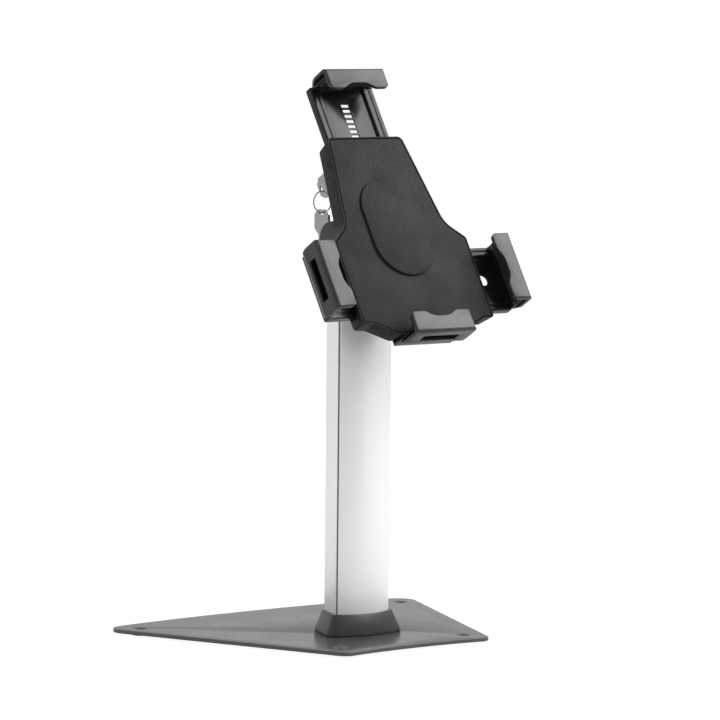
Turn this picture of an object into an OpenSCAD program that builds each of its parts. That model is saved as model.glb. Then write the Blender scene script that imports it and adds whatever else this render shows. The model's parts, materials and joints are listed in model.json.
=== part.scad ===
// Anti-theft desk stand for a tablet: a lockable clamping head with four hooked claws,
// tilting and swivelling on an extruded pole over a weighted steel floor plate.
// Units are millimetres, +Z is up, +X is to the right and the user sits at -Y.
// The origin lies on the table, under the centre of the stand's overall box.

/* [Base plate] */
// Thickness of the steel plate
base_t = 3; // [2:0.5:6]
// Height of the rubber feet
foot_h = 2; // [1.5:0.5:4]
// Half the plate's width at its front corners
base_front_half = 71.7; // [60:0.5:85]
// Half the plate's width at its rear corners
base_rear_half = 156.3; // [140:0.5:175]
// Reach of the front corners ahead of the pole's centre
base_front = 83.5; // [70:0.5:95]
// Reach of the rear corners behind the pole's centre
base_rear = 127.9; // [110:0.1:140]
// Inward bow of the front edge
base_front_bow = 6; // [1:0.5:10]
// Outward bow of the rear edge
base_rear_bow = 10.6; // [4:0.1:25]
// Corner radius at the front
base_front_r = 9; // [5:0.5:12]
// Corner radius at the rear
base_rear_r = 14; // [8:0.5:18]
// Radius of the four counter-mounting holes
mount_hole_r = 3; // [2:0.25:4]
// Radius of the countersink over each counter-mounting hole
mount_sink_r = 6; // [4.5:0.25:8]
// Outer radius of a rubber foot
foot_r = 7; // [5.5:0.25:9]
// Sideways distance of the front holes from the front corners
front_hole_in_x = 9.7; // [9:0.5:20]
// Distance of the front holes behind the front corners
front_hole_in_y = 22.2; // [16:0.1:30]
// Sideways distance of the rear holes from the rear corners
rear_hole_in_x = 24.3; // [18:0.5:40]
// Distance of the rear holes ahead of the rear corners
rear_hole_in_y = 19.1; // [10:0.1:30]

/* [Pole] */
// Height of the pole's upper end above the table
pole_top = 276; // [240:1:300]
// Half the pole's width at its front corners
pole_front_half = 27.2; // [24:0.1:32]
// Half the pole's width at its rear corners
pole_rear_half = 17.9; // [15:0.1:22]
// Reach of the pole's front corners
pole_front = 9.6; // [8:0.1:14]
// Outward bow of the pole's front face
pole_front_bow = 8.9; // [5:0.1:10]
// Reach of the pole's flat rear face
pole_rear = 18; // [14:0.1:22]
// Corner radius of the pole
pole_r = 3.5; // [2:0.1:4]
// Wall thickness of the extrusion
pole_wall = 2; // [1.5:0.1:3]
// Radius of the screw bosses inside the extrusion
pole_boss_r = 3.6; // [3.3:0.1:4.2]
// Sideways distance of the screw bosses from the pole's centre
pole_boss_x = 18.8; // [18:0.1:20]
// Radius of the long screws in the pole's ends
pole_screw_r = 2; // [1.5:0.1:2.5]
// Length of thread of the long screws inside the pole
pole_screw_len = 20; // [10:1:40]

/* [Collar] */
// Height of the flared collar
collar_h = 17; // [10:0.5:25]
// Flare of the collar beyond its upper edge at the front corners
collar_flare_x = 7.3; // [4:0.1:10]
// Flare at the front and the rear
collar_flare_y = 4; // [2:0.1:6]
// Wall of the collar at its upper edge
collar_wall = 1.5; // [1:0.1:3]

/* [Tilt joint] */
// Height of the hinge axis above the table
hinge_z = 318.3; // [312:0.1:330]
// Lean of the head from the vertical, in degrees
tilt = 31.5; // [20:0.5:45]
// Radius of the hinge barrel
barrel_r = 15; // [13:0.1:16]
// Half the width of the fixed middle knuckle
knuckle_half = 11.5; // [9:0.1:12]
// Thickness of the friction washers
friction_t = 0.8; // [0.5:0.1:1.2]
// Half the width over the yoke's two ears
yoke_half = 26; // [24:0.1:28]
// Thickness of the hinge's end caps
hinge_cap_t = 2; // [1:0.1:3]
// Radius of the hinge bolt
hinge_bolt_r = 4; // [3:0.1:5]
// Thickness of the pole cap's plate
pole_cap_t = 8; // [5:0.5:9]
// Overhang of the pole cap around the pole
pole_cap_rim = 1.5; // [0.5:0.1:2]

/* [Swivel joint] */
// Radius of the yoke's round flange
flange_r = 20; // [17:0.1:22]
// Thickness of that flange
flange_t = 4; // [3:0.1:5]
// Thickness of the swivel's friction washer
swivel_washer_t = 0.6; // [0.4:0.1:1]
// Radius of the swivel spigot
spigot_r = 12; // [9:0.1:13]
// Radius of the retaining disc inside the head
swivel_disc_r = 16; // [14:0.1:18]

/* [Head housing] */
// Distance from the hinge axis to the front face of the head
face_n = 47.3; // [46:0.1:52]
// Depth of the housing
shell_depth = 16; // [15.5:0.1:18]
// Thickness of the housing's walls
shell_wall = 2.5; // [2:0.1:3]
// Thickness of the housing's back
shell_back = 2; // [1.6:0.1:2.4]
// Draft of the side walls toward the back
shell_draft = 2; // [0.5:0.1:2.5]
// Half the width at the top
head_top_half = 36.6; // [35.5:0.1:40]
// Half the width at the root of the neck
neck_root_half = 49; // [44:0.1:52]
// Half the width of the lower body
body_half = 65.5; // [63:0.1:70]
// Half the width of the flat bottom
bottom_half = 34; // [30:0.1:38]
// Height of the top edge above the swivel axis
head_top = 66; // [60:0.1:75]
// Drop of the neck's root below the swivel axis
neck_root_drop = 11.7; // [8:0.1:16]
// Drop of the shoulders below the swivel axis
shoulder_drop = 25.8; // [23:0.1:28]
// Drop of the lower corners below the swivel axis
lower_corner_drop = 97; // [92:0.1:100]
// Drop of the bottom edge below the swivel axis
head_bottom_drop = 107.4; // [104:0.1:116]
// Width of the housing's thin front rim
rim_w = 1; // [0.6:0.1:1.4]
// Width of the groove between rim and front panel
groove_w = 0.8; // [0.4:0.1:1]
// Thickness of the front panel
panel_t = 2.5; // [2:0.1:3]

/* [Oval pad] */
// Half the width of the pad and radius of its round ends
pad_half = 28.4; // [24:0.1:30]
// Length of the pad's straight sides
pad_straight = 29; // [20:0.5:36]
// Drop of the pad's middle below the swivel axis
pad_drop = 15; // [11:0.1:18]
// Height of the pad above the front panel
pad_t = 2; // [1:0.1:2.5]

/* [Steel arms] */
// Thickness of the arms' sheet steel
steel_t = 1.5; // [1:0.1:1.6]
// Depth of the arms' front rails behind the front face
rail_n = 6.6; // [6:0.1:7]
// Depth of the recessed web behind the rails
web_step = 2.5; // [2:0.1:3]
// Depth of the side flanges behind the rails
flange_step = 6; // [5:0.1:6]
// Bend radius of the rails' outer edges
arm_bend_r = 1.2; // [0.4:0.1:1.6]
// Half the width of the top arm
top_arm_half = 31; // [28:0.1:32]
// Half the width of the side arms
side_arm_half = 28; // [25:0.1:29]
// Width of the top arm's front rails
top_rail_w = 10; // [8:0.1:12]
// Width of the side arms' front rails
side_rail_w = 8; // [7:0.1:10]
// Width of the groove along a rail
rail_groove_w = 1.4; // [0.8:0.1:2]
// Depth of the groove along a rail
rail_groove_d = 0.6; // [0.3:0.1:0.8]
// Drop of the side arms' centre line below the swivel axis
side_drop = 60.2; // [60:0.1:61]
// Distance of the top arm's fold from the swivel axis
top_fold = 113.1; // [110:0.1:120]
// Distance of the side arms' folds from the middle
side_fold = 89.3; // [88.5:0.1:95]
// Length of the top arm inside its fold
top_arm_len = 108; // [100:1:112]
// Length of the side arms inside their folds
side_arm_len = 55; // [50:1:60]
// Height of the folded tabs above the front face
tab_top = 12.6; // [9:0.1:13]
// Width of the rack windows
window_w = 8; // [5:0.1:10]
// Height of the rack windows
window_h = 3; // [2.8:0.1:3.3]
// Pitch of the rack windows
window_pitch = 4.6; // [4.4:0.1:5]
// Number of rack windows
window_count = 19; // [14:1:19]
// Distance of the first window from the fold
window_first = 13.7; // [11:0.1:16]
// Width of the round-ended hole in the side arms
arm_hole_w = 9; // [6:0.1:12]
// Distance of that hole's outer end from the fold
arm_hole_in = 9.5; // [8:0.1:16]
// Length of that hole
arm_hole_len = 16; // [12:0.1:20]

/* [Claws] */
// Length of a claw
claw_len = 58.7; // [54:0.1:64]
// Height of the lip's front above the front face
claw_front = 16.1; // [15:0.1:18]
// Thickness of the lip
lip_t = 3; // [2:0.1:3.2]
// Thickness of the claw's outer wall
claw_wall = 2.5; // [2:0.1:3]
// Distance of the claw's outer wall from the arm's fold
claw_out = 6.7; // [6:0.1:9]
// Depth of the lip at its two lobes
lip_deep = 18.5; // [16:0.1:20]
// Depth of the lip at the middle notch
lip_notch = 13.3; // [11:0.1:14]
// Reach of the outer wall behind the front face
claw_back = 5.6; // [4:0.1:6]
// Length of the window in the claw's outer wall
claw_window_len = 35; // [28:0.1:40]
// Height of the window in the claw's outer wall
claw_window_h = 8; // [6:0.1:9]
// Thickness of the rubber grip
grip_t = 1.8; // [1.4:0.1:2.2]
// Height of the grip's ribs
rib_h = 0.6; // [0.3:0.1:0.8]
// Pitch of the grip's ribs
rib_pitch = 3; // [2.4:0.1:4]

/* [Side arm gear] */
// Module of the pinion and its two racks
gear_module = 1; // [0.9:0.05:1]
// Number of teeth on the pinion
pinion_teeth = 16; // [12:4:16]
// Radius of the pinion's post
post_r = 2.5; // [2:0.1:3]
// Reach of a rack past the middle of the head
rack_reach = 10; // [8:0.1:12]

/* [Lock] */
// Rack window that the latch meets at rest, counted from the first
latch_window = 11; // [7:1:11]
// Sideways place of the lock
lock_x = -14.2; // [-14.8:0.1:-14]
// Radius of the lock's round boss on the housing
lock_boss_r = 14; // [13:0.1:15]
// Radius of the lock's barrel
lock_barrel_r = 8; // [7:0.1:8.5]
// Radius of the lock's front flange
lock_flange_r = 11; // [10:0.1:12]
// Radius of the lock's turning plug
plug_r = 4.5; // [4.2:0.1:5]
// Rise of the latch into a rack window
latch_rise = 1.8; // [1.2:0.1:1.8]
// Thickness of a key
key_t = 2; // [1.5:0.1:2.2]
// Length of a key's bow
key_bow_len = 20; // [16:0.1:22]
// Width of a key's bow
key_bow_w = 18; // [14:0.1:18]
// Full length of a key
key_len = 40; // [36:0.1:42]
// Width of a key's blade
key_blade_w = 7; // [5:0.1:7.4]
// Mean radius of the key ring
ring_r = 8.7; // [8:0.1:10]
// Radius of the key ring's wire
ring_wire_r = 0.5; // [0.4:0.05:0.6]

/* [Clearances] */
// Radial running clearance of shafts in bores
run_gap = 0.05; // [0.02:0.01:0.08]
// Gap between faces that slide past each other
slide_gap = 0.3; // [0.2:0.05:0.4]
// Gap between stacked discs
stack_gap = 0.1; // [0.05:0.05:0.15]

/* [Hidden] */
round_fn = 64;
corner_steps = 6;
cut = 1;

base_top = foot_h + base_t;
front_hole_x = base_front_half - front_hole_in_x;
front_hole_y = -base_front + front_hole_in_y;
rear_hole_x = base_rear_half - rear_hole_in_x;
rear_hole_y = base_rear - rear_hole_in_y;
foot_hole_r = mount_hole_r + 1;

shell_back_n = -shell_depth;
floor_n = -shell_depth + shell_back;
flange_n = shell_back_n - swivel_washer_t - 2 * stack_gap;
web_front_n = -rail_n - web_step;
web_back_n = web_front_n - steel_t;
arm_back_n = -rail_n - flange_step;
lip_back_n = claw_front - lip_t;
bottom_fold = head_bottom_drop + 0.2;
gear_r = gear_module * pinion_teeth / 2;
gear_back_n = floor_n + 0.6;
gear_front_n = web_back_n - 0.4;
lock_y = top_fold - window_first - latch_window * window_pitch;
key_slot_in = 3.2;
key_slot_w = 2.2;
key_slot_len = 5;
boss_n = shell_back_n - 8;
lock_flange_t = 3;
lock_face_n = boss_n - lock_flange_t;
plug_end_n = floor_n - stack_gap;
key_tip_n = plug_end_n - 1.6;
key_end_n = key_tip_n - key_len;
top_guide_drop = 18;
panel_screw_places = [[body_half - 12, -shoulder_drop - 0.7], [bottom_half + 3, -lower_corner_drop + 1]];
bracket_screw_x = 18;
bracket_screw_y = -head_bottom_drop + 8.5;

// The head leans back about the hinge axis: these are the unit directions up the face
// and out of the face, seen from the side as [y, z]
up_dir = [sin(tilt), cos(tilt)];
out_dir = [-cos(tilt), sin(tilt)];
function side_point(y, n) = [0, hinge_z] + y * up_dir + (face_n + n) * out_dir;
bottom_claw_front = side_point(-bottom_fold - claw_out, claw_front)[0];
frame_shift = (bottom_claw_front + base_rear + base_rear_bow) / 2;

// The lock's key hangs from these two points, again as [y, z]
upper_slot = side_point(lock_y, key_end_n + key_slot_in);
slot_play = key_slot_w / 2 - ring_wire_r - 0.1;
ring_top = upper_slot - (key_slot_len - key_slot_w) / 2 * up_dir - [0, slot_play];
ring_centre = ring_top - [0, ring_r];
spare_slot = ring_centre - [0, ring_r + slot_play];

// Straight runs and arcs for outlines. A row is [x, y, corner radius].
function unit(v) = v / norm(v);
function cross_z(a, b) = a[0] * b[1] - a[1] * b[0];
function xy(p) = [p[0], p[1]];
function corner_arc(a, b, c, r) =
    let (
        u = unit(a - b),
        w = unit(c - b),
        open = acos(u * w),
        centre = b + unit(u + w) * r / sin(open / 2),
        start = b + u * r / tan(open / 2) - centre,
        turn = (cross_z(-u, w) > 0 ? 1 : -1) * (180 - open),
        first = atan2(start[1], start[0])
    )
    [for (k = [0:corner_steps]) centre + r * [cos(first + turn * k / corner_steps),
                                              sin(first + turn * k / corner_steps)]];
function outline(rows) =
    let (n = len(rows))
    [for (i = [0:n - 1])
        let (a = xy(rows[(i + n - 1) % n]), b = xy(rows[i]), c = xy(rows[(i + 1) % n]))
        each (rows[i][2] == 0 ? [b] : corner_arc(a, b, c, rows[i][2]))];
function inset(rows, d) =
    let (n = len(rows))
    [for (i = [0:n - 1])
        let (
            a = xy(rows[(i + n - 1) % n]),
            b = xy(rows[i]),
            c = xy(rows[(i + 1) % n]),
            e1 = unit(b - a),
            e2 = unit(c - b),
            n1 = [-e1[1], e1[0]],
            n2 = [-e2[1], e2[0]],
            moved = b + (n1 + n2) * d / (1 + n1 * n2),
            r = rows[i][2],
            grow = cross_z(e1, e2) > 0 ? -d : d
        )
        [moved[0], moved[1], r == 0 ? 0 : max(r + grow, 0.3)]];
function mirrored(rows) = [for (i = [len(rows) - 1:-1:0]) [-rows[i][0], rows[i][1], rows[i][2]]];
function bow(p, q, sag, count) =
    let (
        chord = norm(q - p),
        r = (chord * chord / 4 + sag * sag) / (2 * abs(sag)),
        half = asin(chord / 2 / r),
        u = unit(q - p),
        out = [u[1], -u[0]] * (sag > 0 ? 1 : -1),
        centre = (p + q) / 2 - out * (r - abs(sag))
    )
    [for (k = [1:count])
        let (angle = half * (2 * k / (count + 1) - 1), p = centre + r * (sin(angle) * u + cos(angle) * out))
        [p[0], p[1], 0]];

module bar(points, low, high) {
    translate([0, 0, low]) linear_extrude(high - low) polygon(points);
}
module rod(r, low, high) {
    translate([0, 0, low]) cylinder(h = high - low, r = r, $fn = round_fn);
}
module ring(outer, inner, low, high) {
    difference() {
        rod(outer, low, high);
        rod(inner, low - cut, high + cut);
    }
}
module countersunk(r, head_r, low, high) {
    rod(r, low, high);
    translate([0, 0, high - (head_r - r)]) cylinder(h = head_r - r, r1 = r, r2 = head_r, $fn = round_fn);
}
module both_sides() {
    children();
    mirror([1, 0, 0]) children();
}

// The stand's frame has the pole's axis at x = y = 0
module stand_frame() {
    translate([0, -frame_shift, 0]) children();
}
// Along the hinge: x stays, y points up the leaning face and z points out of it
module hinge_frame() {
    stand_frame() translate([0, 0, hinge_z]) rotate([90 - tilt, 0, 0]) children();
}
// The same, with z = 0 on the head's front face
module face_frame() {
    hinge_frame() translate([0, 0, face_n]) children();
}
// An arm's frame: x runs along the fold, y points outward from it and z out of the face
module arm_frame(side) {
    if (side == "top") face_frame() translate([0, top_fold, 0]) children();
    if (side == "bottom") face_frame() rotate([0, 0, 180]) translate([0, bottom_fold, 0]) children();
    if (side == "left") face_frame() translate([-side_fold, -side_drop, 0]) rotate([0, 0, 90]) children();
    if (side == "right") face_frame() translate([side_fold, -side_drop, 0]) rotate([0, 0, -90]) children();
}
// Along the hinge pin: z runs along x
module along_x() {
    rotate([90, 0, 90]) children();
}

base_rear_corner = [base_rear_half, base_rear];
base_rows = concat(
    [[-base_front_half, -base_front, base_front_r]],
    bow([-base_front_half, -base_front], [base_front_half, -base_front], -base_front_bow, 7),
    [[base_front_half, -base_front, base_front_r], [base_rear_half, base_rear, base_rear_r]],
    bow(base_rear_corner, [-base_rear_half, base_rear], base_rear_bow, 11),
    [[-base_rear_half, base_rear, base_rear_r]]);

function pole_rows(grow_x, grow_front, grow_rear, r) =
    let (
        front = [pole_front_half + grow_x, -pole_front - grow_front],
        rear = [pole_rear_half + grow_x * 0.45, pole_rear + grow_rear]
    )
    concat(
        [[-front[0], front[1], r]],
        bow([-front[0], front[1]], front, pole_front_bow, 9),
        [[front[0], front[1], r], [rear[0], rear[1], r], [-rear[0], rear[1], r]]);
pole_shape = pole_rows(0, 0, 0, pole_r);

module at_mount_holes() {
    for (place = [[-front_hole_x, front_hole_y], [front_hole_x, front_hole_y],
                  [-rear_hole_x, rear_hole_y], [rear_hole_x, rear_hole_y]])
        translate(place) children();
}
module at_pole_bosses() {
    both_sides() translate([pole_boss_x, 0, 0]) children();
}

module base_plate() {
    color([0.25, 0.25, 0.26]) stand_frame() difference() {
        bar(outline(base_rows), foot_h, base_top);
        at_mount_holes() {
            rod(mount_hole_r, foot_h - cut, base_top + cut);
            translate([0, 0, base_top - 2])
                cylinder(h = 2, r1 = mount_hole_r, r2 = mount_sink_r, $fn = round_fn);
            rod(mount_sink_r, base_top, base_top + cut);
        }
        at_pole_bosses() rod(pole_screw_r + run_gap, foot_h - cut, base_top + cut);
        at_pole_bosses() mirror([0, 0, 1])
            translate([0, 0, -foot_h - 1.8])
            cylinder(h = 1.8 + cut / 4, r1 = pole_screw_r + run_gap, r2 = pole_screw_r + 2.05 + run_gap,
                     $fn = round_fn);
    }
}
module foot(x, y) {
    color([0.08, 0.08, 0.08]) stand_frame() translate([x, y, 0]) ring(foot_r, foot_hole_r, 0, foot_h);
}
module base_screws() {
    color([0.6, 0.6, 0.62]) stand_frame() at_pole_bosses() mirror([0, 0, 1])
        countersunk(pole_screw_r, pole_screw_r + 1.75, -base_top - pole_screw_len, -foot_h - 0.05);
}

module pole_collar() {
    collar_top = pole_rows(collar_wall + 1.7, collar_wall - 0.2, collar_wall, pole_r + 0.5);
    collar_foot = pole_rows(collar_wall + 1.7 + collar_flare_x, collar_wall - 0.2 + collar_flare_y,
                            collar_wall + 1.5 + collar_flare_y, pole_r + 4.5);
    low = base_top;
    high = base_top + collar_h;
    color([0.1, 0.1, 0.1]) stand_frame() difference() {
        hull() {
            bar(outline(collar_foot), low, low + 2);
            bar(outline(collar_top), high - 2.2, high - 0.8);
            bar(outline(inset(collar_top, 0.6)), high - 0.8, high);
        }
        bar(outline(inset(pole_shape, -0.2)), low - cut, high + cut);
    }
}
module pole() {
    color([0.85, 0.85, 0.86]) stand_frame() difference() {
        union() {
            difference() {
                bar(outline(pole_shape), base_top, pole_top);
                bar(outline(inset(pole_shape, pole_wall)), base_top - cut, pole_top + cut);
            }
            at_pole_bosses() intersection() {
                rod(pole_boss_r, base_top, pole_top);
                bar(outline(inset(pole_shape, pole_wall / 2)), base_top, pole_top);
            }
        }
        at_pole_bosses() rod(pole_screw_r + run_gap, base_top - cut, pole_top + cut);
    }
}
module pole_cap() {
    plate_top = pole_top + pole_cap_t;
    color([0.12, 0.12, 0.12]) stand_frame() difference() {
        union() {
            bar(outline(inset(pole_shape, -pole_cap_rim)), pole_top, plate_top - 1);
            bar(outline(inset(pole_shape, -pole_cap_rim + 1)), plate_top - 1, plate_top);
            difference() {
                bar(outline(inset(pole_shape, pole_wall + 0.2)), pole_top - 14, pole_top);
                at_pole_bosses() rod(pole_boss_r + 0.2, pole_top - 15, pole_top);
                bar(outline(inset(pole_shape, pole_wall + 3)), pole_top - 15, pole_top - 2);
            }
            translate([0, 0, hinge_z]) along_x() rod(barrel_r, -knuckle_half, knuckle_half);
            translate([-knuckle_half, -barrel_r + 2, plate_top - cut])
                cube([2 * knuckle_half, 2 * barrel_r - 4, hinge_z - plate_top + cut]);
        }
        translate([0, 0, hinge_z])
            along_x() rod(hinge_bolt_r + run_gap, -knuckle_half - cut, knuckle_half + cut);
        at_pole_bosses() {
            rod(pole_screw_r + run_gap, pole_top - 15, plate_top + cut);
            rod(pole_screw_r + 1.85, plate_top - 2.5, plate_top + cut);
        }
    }
}
module cap_screws() {
    head_low = pole_top + pole_cap_t - 2.5;
    color([0.6, 0.6, 0.62]) stand_frame() at_pole_bosses() {
        rod(pole_screw_r, pole_top - pole_screw_len, head_low);
        rod(pole_screw_r + 1.75, head_low, head_low + 2.2);
    }
}

// The tilt yoke: two ears on the hinge bolt, a neck and the swivel's round flange
module tilt_yoke() {
    ear_in = knuckle_half + friction_t + 2 * stack_gap;
    neck_low = barrel_r + 0.6;
    flange_front = face_n + flange_n;
    flange_back = flange_front - flange_t;
    color([0.13, 0.13, 0.13]) hinge_frame() difference() {
        union() {
            both_sides() {
                translate([ear_in, 0, 0]) along_x() rod(barrel_r, 0, yoke_half - ear_in);
                translate([ear_in, -barrel_r + 2, 0])
                    cube([yoke_half - ear_in, 2 * barrel_r - 4, flange_back]);
            }
            translate([-yoke_half, -barrel_r + 2, neck_low])
                cube([2 * yoke_half, 2 * barrel_r - 4, flange_back - neck_low]);
            rod(flange_r, flange_back, flange_front);
            rod(spigot_r, flange_front - cut, face_n + floor_n);
        }
        along_x() rod(hinge_bolt_r + run_gap, -yoke_half - cut, yoke_half + cut);
        both_sides() along_x() rod(hinge_bolt_r + 4, yoke_half - 4.2, yoke_half + cut);
        at_swivel_screws() rod(1.5 + run_gap, neck_low + 1, face_n + floor_n + cut);
    }
}
module at_swivel_screws() {
    for (angle = [90, 210, 330]) rotate([0, 0, angle]) translate([7.5, 0, 0]) children();
}
module hinge_bolt() {
    color([0.6, 0.6, 0.62]) hinge_frame() along_x() {
        rod(hinge_bolt_r, -yoke_half + 0.2, yoke_half - 0.2);
        rod(hinge_bolt_r + 3.5, -yoke_half + 0.2, -yoke_half + 4.1);
    }
}
module hinge_nut() {
    color([0.6, 0.6, 0.62]) hinge_frame() along_x() difference() {
        translate([0, 0, yoke_half - 4.1]) cylinder(h = 3.9, r = hinge_bolt_r + 3.5, $fn = 6);
        rod(hinge_bolt_r + run_gap, 0, yoke_half + cut);
    }
}
module hinge_cap() {
    translate([yoke_half, 0, 0]) along_x() {
        rod(barrel_r, 0, hinge_cap_t - 0.6);
        translate([0, 0, hinge_cap_t - 0.6])
            cylinder(h = 0.6, r1 = barrel_r, r2 = barrel_r - 0.6, $fn = round_fn);
    }
}
module hinge_cap_left() {
    color([0.07, 0.07, 0.07]) hinge_frame() mirror([1, 0, 0]) hinge_cap();
}
module hinge_cap_right() {
    color([0.07, 0.07, 0.07]) hinge_frame() hinge_cap();
}
module friction_washers() {
    color([0.75, 0.72, 0.6]) hinge_frame() both_sides() along_x()
        ring(barrel_r - 2, hinge_bolt_r + 0.3, knuckle_half + stack_gap, knuckle_half + stack_gap + friction_t);
}
module swivel_washer() {
    color([0.8, 0.8, 0.78]) face_frame()
        ring(flange_r - 1, spigot_r + 0.3, flange_n + stack_gap, flange_n + stack_gap + swivel_washer_t);
}
module swivel_disc() {
    color([0.5, 0.5, 0.52]) face_frame() difference() {
        rod(swivel_disc_r, floor_n + stack_gap, floor_n + 1.8);
        at_swivel_screws() {
            rod(1.5 + run_gap, floor_n - cut, floor_n + 2);
            translate([0, 0, floor_n + 0.3])
                cylinder(h = 1.5, r1 = 1.5 + run_gap, r2 = 3.05, $fn = round_fn);
        }
    }
}
module swivel_screws() {
    color([0.6, 0.6, 0.62]) face_frame() at_swivel_screws() countersunk(1.5, 2.9, floor_n - 9, floor_n + 1.75);
}

// The housing's outline, from the bottom edge up its right side and down its left
head_half = [
    [bottom_half, -head_bottom_drop, 10],
    [bottom_half + 20.5, -lower_corner_drop - 0.4, 9],
    [body_half - 0.5, -lower_corner_drop, 3],
    [body_half, -shoulder_drop, 4],
    [neck_root_half, -neck_root_drop, 20],
    [head_top_half, head_top, 5]];
head_rows = concat(head_half, mirrored(head_half));
head_mid_y = (head_top - head_bottom_drop) / 2;
head_tall = head_top + head_bottom_drop;

// A drafted block with the housing's outline, drawn in by d, from the front face to a depth
module drafted(d, depth, share) {
    low = 1 - 2 * shell_draft * share / (2 * body_half);
    tall = 1 - 2 * shell_draft * share / head_tall;
    points = [for (p = outline(inset(head_rows, d))) [p[0], p[1] - head_mid_y]];
    translate([0, head_mid_y, 0]) mirror([0, 0, 1])
        linear_extrude(height = depth, scale = [low, tall]) polygon(points);
}
module at_panel_screws() {
    both_sides() for (place = panel_screw_places) translate(place) children();
}
module arm_tunnel(half) {
    translate([-half - slide_gap, -top_arm_len / 2, arm_back_n - slide_gap])
        cube([2 * (half + slide_gap), top_arm_len, flange_step + 2 * slide_gap]);
}
module back_shell() {
    color([0.16, 0.16, 0.16]) face_frame() {
        difference() {
            union() {
                drafted(0, shell_depth, 1);
                translate([lock_x, lock_y, 0]) rod(lock_boss_r, boss_n, floor_n - 0.5);
            }
            drafted(shell_wall, shell_depth - shell_back, 1 - shell_back / shell_depth);
            bar(outline(inset(head_rows, rim_w)), -panel_t, cut);
            translate([0, head_top, 0]) arm_tunnel(top_arm_half);
            both_sides() translate([body_half, -side_drop, 0]) rotate([0, 0, -90])
                arm_tunnel(side_arm_half);
            rod(spigot_r + run_gap, shell_back_n - cut, floor_n + cut);
            translate([lock_x, lock_y, 0]) {
                rod(lock_barrel_r + run_gap, boss_n - cut, floor_n + cut);
                rod(lock_boss_r - 2, shell_back_n - 3, floor_n + cut);
            }
            at_panel_screws() {
                rod(1.5 + run_gap, shell_back_n - cut, floor_n + cut);
                translate([0, 0, shell_back_n - 0.01])
                    cylinder(h = 1.5, r1 = 3.05, r2 = 1.5 + run_gap, $fn = round_fn);
            }
            at_bracket_screws() rod(1.5 + run_gap, shell_back_n - cut, floor_n + cut);
        }
        arm_guides();
        translate([7, lock_y, 0]) rod(1, floor_n - 0.5, web_back_n - 0.4);
    }
}
// Low ribs on the housing's floor carry the arms' flanges
module arm_guides() {
    rib_top = arm_back_n - slide_gap;
    both_sides() {
        translate([top_arm_half - steel_t - 0.3, -top_guide_drop, floor_n - 0.5])
            cube([steel_t + 0.6, head_top - 4 + top_guide_drop, rib_top - floor_n + 0.5]);
        for (edge = [-side_arm_half - 0.3, side_arm_half - steel_t - 0.3])
            translate([12, -side_drop + edge, floor_n - 0.5])
                cube([body_half - 16, steel_t + 0.6, rib_top - floor_n + 0.5]);
    }
}
module at_bracket_screws() {
    both_sides() translate([bracket_screw_x, bracket_screw_y, 0]) children();
}
module front_panel() {
    color([0.2, 0.2, 0.2]) face_frame() difference() {
        union() {
            bar(outline(inset(head_rows, rim_w + groove_w)), -panel_t + 0.02, 0);
            at_panel_screws() rod(3, floor_n + 0.05, -panel_t + 0.5);
        }
        at_panel_screws() rod(1.5 + run_gap, floor_n - cut, -panel_t);
    }
}
module panel_screws() {
    color([0.3, 0.3, 0.3]) face_frame() at_panel_screws() mirror([0, 0, 1])
        countersunk(1.5, 2.95, 6, shell_depth);
}

// A slab with straight sides and round ends
module pad_slab(half, low, high) {
    for (y = [-pad_straight / 2, pad_straight / 2]) translate([0, y, 0]) rod(half, low, high);
    translate([-half, -pad_straight / 2, low]) cube([2 * half, pad_straight, high - low]);
}
module oval_pad() {
    color([0.22, 0.22, 0.22]) face_frame() translate([0, -pad_drop, 0]) {
        pad_slab(pad_half, 0, pad_t - 0.5);
        pad_slab(pad_half - 0.5, pad_t - 0.5, pad_t);
    }
}

// Pressed steel arm: a stepped channel with a tab folded forward at its outer end
function rail_groove(x) = [
    [x + rail_groove_w / 2, -rail_n, 0],
    [x + rail_groove_w / 2, -rail_n - rail_groove_d, 0],
    [x - rail_groove_w / 2, -rail_n - rail_groove_d, 0],
    [x - rail_groove_w / 2, -rail_n, 0]];
function channel_points(half, rail) = outline([
    [-half, arm_back_n, 0],
    [-half + steel_t, arm_back_n, 0],
    [-half + steel_t, -rail_n - steel_t, 0],
    [-half + rail - steel_t, -rail_n - steel_t, 0],
    [-half + rail - steel_t, web_back_n, 0],
    [half - rail + steel_t, web_back_n, 0],
    [half - rail + steel_t, -rail_n - steel_t, 0],
    [half - steel_t, -rail_n - steel_t, 0],
    [half - steel_t, arm_back_n, 0],
    [half, arm_back_n, 0],
    [half, -rail_n, arm_bend_r],
    each rail_groove(half - rail / 2),
    [half - rail, -rail_n, arm_bend_r],
    [half - rail, web_front_n, 0.5],
    [-half + rail, web_front_n, 0.5],
    [-half + rail, -rail_n, arm_bend_r],
    each rail_groove(-half + rail / 2),
    [-half, -rail_n, arm_bend_r]]);
module folded_tab(half, low, high) {
    tab_half = claw_len / 2 - 1.5;
    tab_rows = [
        [-half, low, 0.5], [half, low, 0.5], [half, -rail_n, 0.3], [tab_half, -claw_back, 0.3],
        [tab_half, high, 3], [-tab_half, high, 3], [-tab_half, -claw_back, 0.3], [-half, -rail_n, 0.3]];
    translate([0, steel_t, 0]) rotate([90, 0, 0]) linear_extrude(steel_t) polygon(outline(tab_rows));
}
module pressed_arm(half, rail, length) {
    rotate([90, 0, 0]) linear_extrude(length) polygon(channel_points(half, rail));
    folded_tab(half, arm_back_n, tab_top);
}
module top_arm() {
    color([0.1, 0.1, 0.1]) arm_frame("top") difference() {
        pressed_arm(top_arm_half, top_rail_w, top_arm_len);
        for (k = [0:window_count - 1])
            translate([-window_w / 2, -window_first - k * window_pitch - window_h / 2, web_back_n - cut])
                cube([window_w, window_h, steel_t + 2 * cut]);
    }
}
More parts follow.
